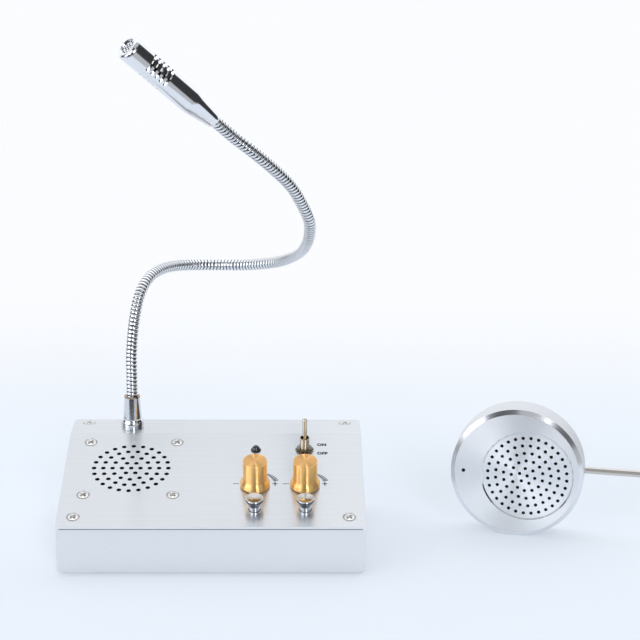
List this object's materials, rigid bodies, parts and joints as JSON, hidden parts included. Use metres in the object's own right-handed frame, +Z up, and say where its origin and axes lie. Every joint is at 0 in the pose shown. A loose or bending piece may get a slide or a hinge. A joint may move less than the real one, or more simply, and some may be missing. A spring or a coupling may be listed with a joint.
{
  "type": "teller window intercom",
  "caption": "Counter intercom: wedge desk unit with loudspeaker grille, knobs, mute buttons, toggle and gooseneck microphone, beside a round window unit on a tube.",
  "frame": {"origin": "centre of the desk unit's footprint, on the plane its rubber feet stand on", "axes": "+X along the desk unit's width to the user's right, +Y away from the user, +Z up"},
  "size_m": [0.4339, 0.1982, 0.3132],
  "materials": {
    "tray_paint": "fine satin powder coat, pale silver",
    "plate_brushed": "brushed along the width, clear anodised",
    "zinc_steel": "bright zinc",
    "nickel_screw": "nickel plated, polished",
    "foot_rubber": "matte black",
    "speaker_frame": "black stoved paint",
    "speaker_paper": "matte black treated paper",
    "ferrite": "matte dark ferrite between steel plates",
    "dust_cloth": "black dust cloth",
    "ferrule_chrome": "polished chrome",
    "brass_ring": "polished copper-coloured brass",
    "neck_chrome": "chromed spiral tube",
    "mic_metal": "satin chrome, cool",
    "capsule_metal": "satin",
    "knob_gold": "gold anodised, turned",
    "button_chrome": "polished chrome",
    "switch_black": "moulded black",
    "toggle_nickel": "nickel plated",
    "toggle_case": "moulded dark red",
    "lamp_lens": "smoked lens",
    "board_green": "green solder mask",
    "part_black": "black",
    "puck_metal": "fine satin, turned",
    "tube_steel": "stainless, polished"
  },
  "bodies": {
    "desk_unit": {"case_tray": "tray_paint", "top_plate": "plate_brushed", "clinch_nuts": "zinc_steel", "corner_screws": "nickel_screw", "rubber_feet": "foot_rubber", "speaker_basket": "speaker_frame", "speaker_cone": "speaker_paper", "speaker_magnet": "ferrite", "speaker_cloth": "dust_cloth", "speaker_screws": "nickel_screw", "speaker_nuts": "zinc_steel", "neck_ferrule": "ferrule_chrome", "neck_seal_ring": "brass_ring", "neck_washer": "zinc_steel", "neck_nut": "zinc_steel", "neck_lower": "neck_chrome", "neck_flex_1": "neck_chrome", "volume_bodies": "zinc_steel", "volume_nuts": "toggle_nickel", "button_bodies": "switch_black", "toggle_bush": "toggle_nickel", "toggle_nut": "toggle_nickel", "toggle_washer": "toggle_nickel", "toggle_body": "toggle_case", "lamp_bezel": "switch_black", "lamp_lens": "lamp_lens", "control_board": "board_green", "main_board": "board_green", "board_parts": "part_black", "board_standoffs": "zinc_steel", "board_screws": "zinc_steel", "dc_socket": "part_black", "window_jack": "toggle_nickel", "socket_nuts": "toggle_nickel", "puck_body": "puck_metal", "puck_grille": "puck_metal", "puck_cloth": "dust_cloth", "puck_speaker": "speaker_frame", "puck_back_cover": "puck_metal", "puck_screws": "nickel_screw", "puck_microphone": "foot_rubber", "puck_tube": "tube_steel"},
    "neck_middle_part": {"neck_middle": "neck_chrome", "neck_flex_2": "neck_chrome"},
    "neck_upper_part": {"neck_upper": "neck_chrome", "neck_flex_3": "neck_chrome"},
    "microphone": {"neck_end": "neck_chrome", "mic_shell": "mic_metal", "mic_cap": "mic_metal", "mic_capsule": "capsule_metal", "mic_sleeve": "foot_rubber"},
    "volume_left": {"knob_left": "knob_gold", "shaft_left": "zinc_steel", "grub_left": "zinc_steel"},
    "volume_right": {"knob_right": "knob_gold", "shaft_right": "zinc_steel", "grub_right": "zinc_steel"},
    "mute_left": {"button_left": "button_chrome"},
    "mute_right": {"button_right": "button_chrome"},
    "power_lever": {"toggle_lever": "toggle_nickel"}
  },
  "joints": [
    {"name": "neck_base_bend", "type": "hinge", "parent": "desk_unit", "child": "neck_middle_part", "pos_m": [-0.05236, 0.04468, 0.10876], "axis": [1, 0, 0], "range_deg": [-20, 20], "deforming": ["neck_flex_1"]},
    {"name": "neck_middle_bend", "type": "hinge", "parent": "neck_middle_part", "child": "neck_upper_part", "pos_m": [0.00756, 0.11483, 0.14425], "axis": [0.2739, 0.9618, 0], "range_deg": [-20, 20], "deforming": ["neck_flex_2"]},
    {"name": "neck_tip_bend", "type": "hinge", "parent": "neck_upper_part", "child": "microphone", "pos_m": [0.03422, -0.01902, 0.23397], "axis": [-0.6607, 0.7507, 0], "range_deg": [-30, 30], "deforming": ["neck_flex_3"]},
    {"name": "volume_left_turn", "type": "hinge", "parent": "desk_unit", "child": "volume_left", "pos_m": [0.025, -0.02044, 0.04125], "axis": [0, -0.2924, 0.9563], "range_deg": [-150, 150]},
    {"name": "volume_right_turn", "type": "hinge", "parent": "desk_unit", "child": "volume_right", "pos_m": [0.0548, -0.02044, 0.04125], "axis": [0, -0.2924, 0.9563], "range_deg": [-150, 150]},
    {"name": "mute_left_press", "type": "slide", "parent": "desk_unit", "child": "mute_left", "axis": [0, 0.2924, -0.9563], "range_m": [0, 0.002], "stiffness_N_per_m": 400, "springref_m": -0.003},
    {"name": "mute_right_press", "type": "slide", "parent": "desk_unit", "child": "mute_right", "axis": [0, 0.2924, -0.9563], "range_m": [0, 0.002], "stiffness_N_per_m": 400, "springref_m": -0.003},
    {"name": "power_lever_throw", "type": "hinge", "parent": "desk_unit", "child": "power_lever", "pos_m": [0.0548, 0.01252, 0.05656], "axis": [1, 0, 0], "range_deg": [0, 25]}
  ]
}
